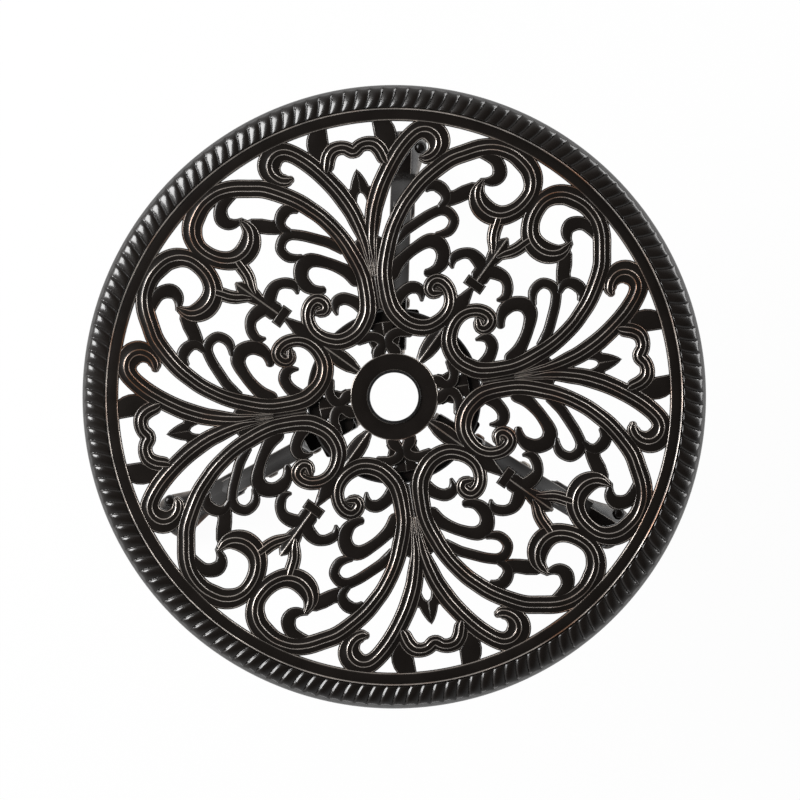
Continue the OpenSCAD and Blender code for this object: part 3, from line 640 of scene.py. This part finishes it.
def spade(casting, rows):
    """The flared foot. A row is x, half width, heights of edge and top, half width of the top."""
    rings, rubs_and_highlights = [], []
    for x, w, edge, ridge, flat in smooth(rows, steps=4):
        side = [
            (w - 1, 17.2, 0), (w, 18.2, 0), (w, edge - 1.4, 0), (w - 0.3, edge - 0.5, 0.8),
            (w - 1.2, edge, 0.3), (0.5 * (w + flat), 0.5 * (edge + ridge) - 0.8, 0),
            (flat + 0.8, ridge - 0.7, 0), (flat + 0.2, ridge - 0.2, 0.5), (flat - 0.6, ridge, 0)]
        ring = side + [(-y, z, r) for y, z, r in side[::-1]]
        rings.append([(x, y, z) for y, z, _ in ring])
        rubs_and_highlights.append([r for _, _, r in ring])
    casting.grid(np.array(rings)[:, ::-1], np.array(rubs_and_highlights)[:, ::-1])


def leg_casting():
    """One leg in mm, in the plane y = 0: its bands, eyes, foot, top plate and bosses."""
    leg = Casting()
    band(leg, leg_path, ridged)
    band(leg, top_curl, lambda h: ridged(h, 11))
    band(leg, leg_curl, lambda h: ridged(h, 11))
    band(leg, leg_flare, lambda h: ridged(h, min(17.4, 10 + 0.9 * h)))
    leg.points = [p @ upright.T for p in leg.points]
    # The eyes that its two curls end in.
    half = 16.5
    for x, z, r in ((201, 177, 10), (121.5, 642, 9)):
        eye = [(0.3, -half), (0.45 * r, -half), (0.7 * r, -half + 1.2), (0.75 * r, -half + 3),
               (0.95 * r, -half + 3.2), (r, -half + 4.4), (r, half - 4.4), (0.95 * r, half - 3.2),
               (0.75 * r, half - 3), (0.7 * r, half - 1.2), (0.45 * r, half), (0.3, half)]
        spool(leg, eye, [0.3, 0.6, 1, 0.2, 0.6, 1, 1, 0.6, 0.2, 1, 0.6, 0.3], (x, 0, z), lying)
    spade(leg, [
        [286, 15, 74, 88, 1.5], [294, 17.2, 63, 76, 1.5], [302, 18.6, 53, 63, 2.5],
        [308, 19.6, 46, 54, 7], [313, 20.6, 42.5, 49.5, 9.4], [322, 23, 39, 47.5, 9.6],
        [334, 26.5, 34.5, 45.5, 9.6], [346, 30, 30.5, 43, 9.6], [355, 31, 29, 41.5, 9.6],
        [363, 28.5, 28.5, 40.5, 9], [369, 22, 28, 38.5, 7.5], [373, 13, 27, 35.5, 5.5]])
    knob = [
        (0.3, 41), (2.4, 41), (5, 40.4), (7, 38.8), (8.2, 36.2), (8.6, 33), (8.6, 20), (0.3, 20)]
    knobs_x, knob_y = 351, 23
    for y in (-knob_y, knob_y):
        spool(leg, knob, [0] * len(knob), (knobs_x, y, 0))
    # The top plate is a cross of two bars under the mounting ring.
    block(leg, box_outline(60, 128, -12, 12, 4), 689, 700.85)
    block(leg, box_outline(92, 113, -29, 29, 4), 688.95, 700.8)
    boss = [(8, 17), (12.2, 17), (13, 17.8), (13, 36), (12, 38.5), (8, 39)]
    boss_x = 352
    spool(leg, boss, [0, 0.5, 1, 0.3, 0, 0], (boss_x, 0, 0))
    waist = [(5, 57.5), (10.4, 57.5), (11, 58.1), (11, 82.9), (10.2, 84.0), (5, 84.0)]
    waist_z = 440
    spool(leg, waist, [0, 0.5, 1, 1, 0.5, 0], (0, 0, waist_z), outward)
    return leg


for i in range(3):
    leg = leg_casting()
    leg.points = [p @ turn(first_leg + leg_step * i).T * mm for p in leg.points]
    piece = leg.piece(f"leg_casting_{i + 1}", leg_bronze_painted_shade)
    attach(piece, "table")
    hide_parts(f"leg_{i + 1}")

# ---------------------------------------------------------------- leg bolts, brace ring
# Zinc-plated hexagon bolts and washers hold the legs. The brace ring is a plain casting with
# threaded holes.
dress(["leg_bolts", "leg_washers", "brace_bolts", "brace_washers"], zinc)
dress(["brace_ring"], dark_bronze)

# ---------------------------------------------------------------- levelling feet
# Each toe has a pressed-in brass insert. A plated stud with a locknut screws in it and carries
# a moulded black pad.
turned = Finish("turned_brass", Metallic=1.0)
mottle = turned.noise(300.0, 3.0)
turned.set(
    Base_Color=turned.ramp(mottle, (0.3, (0.48, 0.33, 0.11, 1)), (0.7, (0.62, 0.45, 0.18, 1))),
    Roughness=0.2 + mottle * 0.25)
dress(["foot_inserts"], turned.material)
dress(["foot_locknuts", "foot_stud_1", "foot_stud_2", "foot_stud_3"], zinc)
dress(["foot_pad_1", "foot_pad_2", "foot_pad_3"], black_plastic)

# ---------------------------------------------------------------- floor, light and camera
# A white sweep lit by three soft boxes and a studio's walls. The camera looks down from seven
# metres above the top, almost straight.
far = 12
floor_mesh = bpy.data.meshes.new("floor")
floor_mesh.from_pydata(
    [(-far, -far, 0), (far, -far, 0), (far, far, 0), (-far, far, 0)], [], [(0, 1, 2, 3)])
floor = bpy.data.objects.new("floor", floor_mesh)
bpy.context.scene.collection.objects.link(floor)
paper = Finish("floor_white", Base_Color=(0.9, 0.9, 0.9, 1), Roughness=0.9)
# Where the floor is seen, straight or in a reflection, most of it is even white.
even_share = 0.96
seen = (
    paper.add("LightPath", {}, {}, "Is Camera Ray")
    + paper.add("LightPath", {}, {}, "Is Glossy Ray")
    + paper.add("LightPath", {}, {}, "Is Transmission Ray"))
glow = paper.add("Emission", {}, {"Color": grey(1), "Strength": 1.0})
lit = Link(paper, paper.shader.outputs[0])
paper.put(
    paper.tree.nodes["Material Output"].inputs["Surface"],
    paper.add("MixShader", {}, {0: seen * even_share, 1: lit, 2: glow}))
floor_mesh.materials.append(paper.material)

# Overhead the studio is dim, and near the horizon it is bright, so that only the turned edges
# of the casting catch the light.
world = bpy.data.worlds.new("studio")
bpy.context.scene.world = world
world.use_nodes = True
studio = Nodes(world.node_tree)
up = studio.add("SeparateXYZ", {}, {0: studio.add("TexCoord", {}, {}, "Generated")}, 2)
walls = studio.ramp(
    up, (0.0, grey(0.65)), (0.15, grey(0.55)), (0.4, grey(0.38)), (0.62, grey(0.17)),
    (0.85, grey(0.02)))
studio.put(world.node_tree.nodes["Background"].inputs["Color"], walls)


# The view is turned against the table's frame by this many degrees.
view_turn = -9.4
lamps_aim = Vector((0, 0, 0.6))


def soft_box(name, bearing, distance, height, size, power):
    """A lamp at that bearing in the view, in degrees, turned to the table."""
    place = turn(bearing + view_turn)[:, 0] * distance + (0, 0, height)
    lamp = bpy.data.lights.new(name, "AREA")
    lamp.shape = "RECTANGLE"
    lamp.size, lamp.size_y = size
    lamp.energy = power
    lamp_object = bpy.data.objects.new(name, lamp)
    lamp_object.location = place
    lamp_object.rotation_euler = (lamps_aim - Vector(place)).to_track_quat("-Z", "Y").to_euler()
    lamp_object.visible_camera = False
    bpy.context.scene.collection.objects.link(lamp_object)


soft_box("lamp_key", bearing=163, distance=3.3, height=2.9, size=(2.2, 2.2), power=205)
soft_box("lamp_right", bearing=30, distance=3.9, height=1.5, size=(5.0, 0.8), power=90)
soft_box("lamp_front", bearing=265, distance=3.8, height=0.9, size=(3.0, 0.5), power=12)

# Right and up in the view, as directions on the table. The camera stands a few centimetres off
# the table's axis and looks at a point just beside the middle of its top.
right = turn(view_turn)[:, 0]
above = turn(view_turn + 90)[:, 0]
camera_z, aim_z = 7.72, 0.724
eye = 0.004 * above + 0.048 * right + (0, 0, camera_z)
aim = -0.0041 * above + 0.0076 * right + (0, 0, aim_z)
back = (eye - aim) / np.linalg.norm(eye - aim)
side = np.cross(above, back)
side /= np.linalg.norm(side)
camera_data = bpy.data.cameras.new("camera")
# The lens takes in half_view on either side of the aim, from view_distance away.
half_view, view_distance = 0.512, 7.0
sensor = 36
camera_data.sensor_width = sensor
camera_data.lens = sensor / 2 / (half_view / view_distance)
camera_data.clip_end = 100
camera = bpy.data.objects.new("camera", camera_data)
axes = np.eye(4)
axes[:3, :4] = np.column_stack([side, np.cross(back, side), back, eye])
camera.matrix_world = Matrix(axes.tolist())
bpy.context.scene.collection.objects.link(camera)
bpy.context.scene.camera = camera
bpy.context.scene.view_settings.view_transform = "Standard"
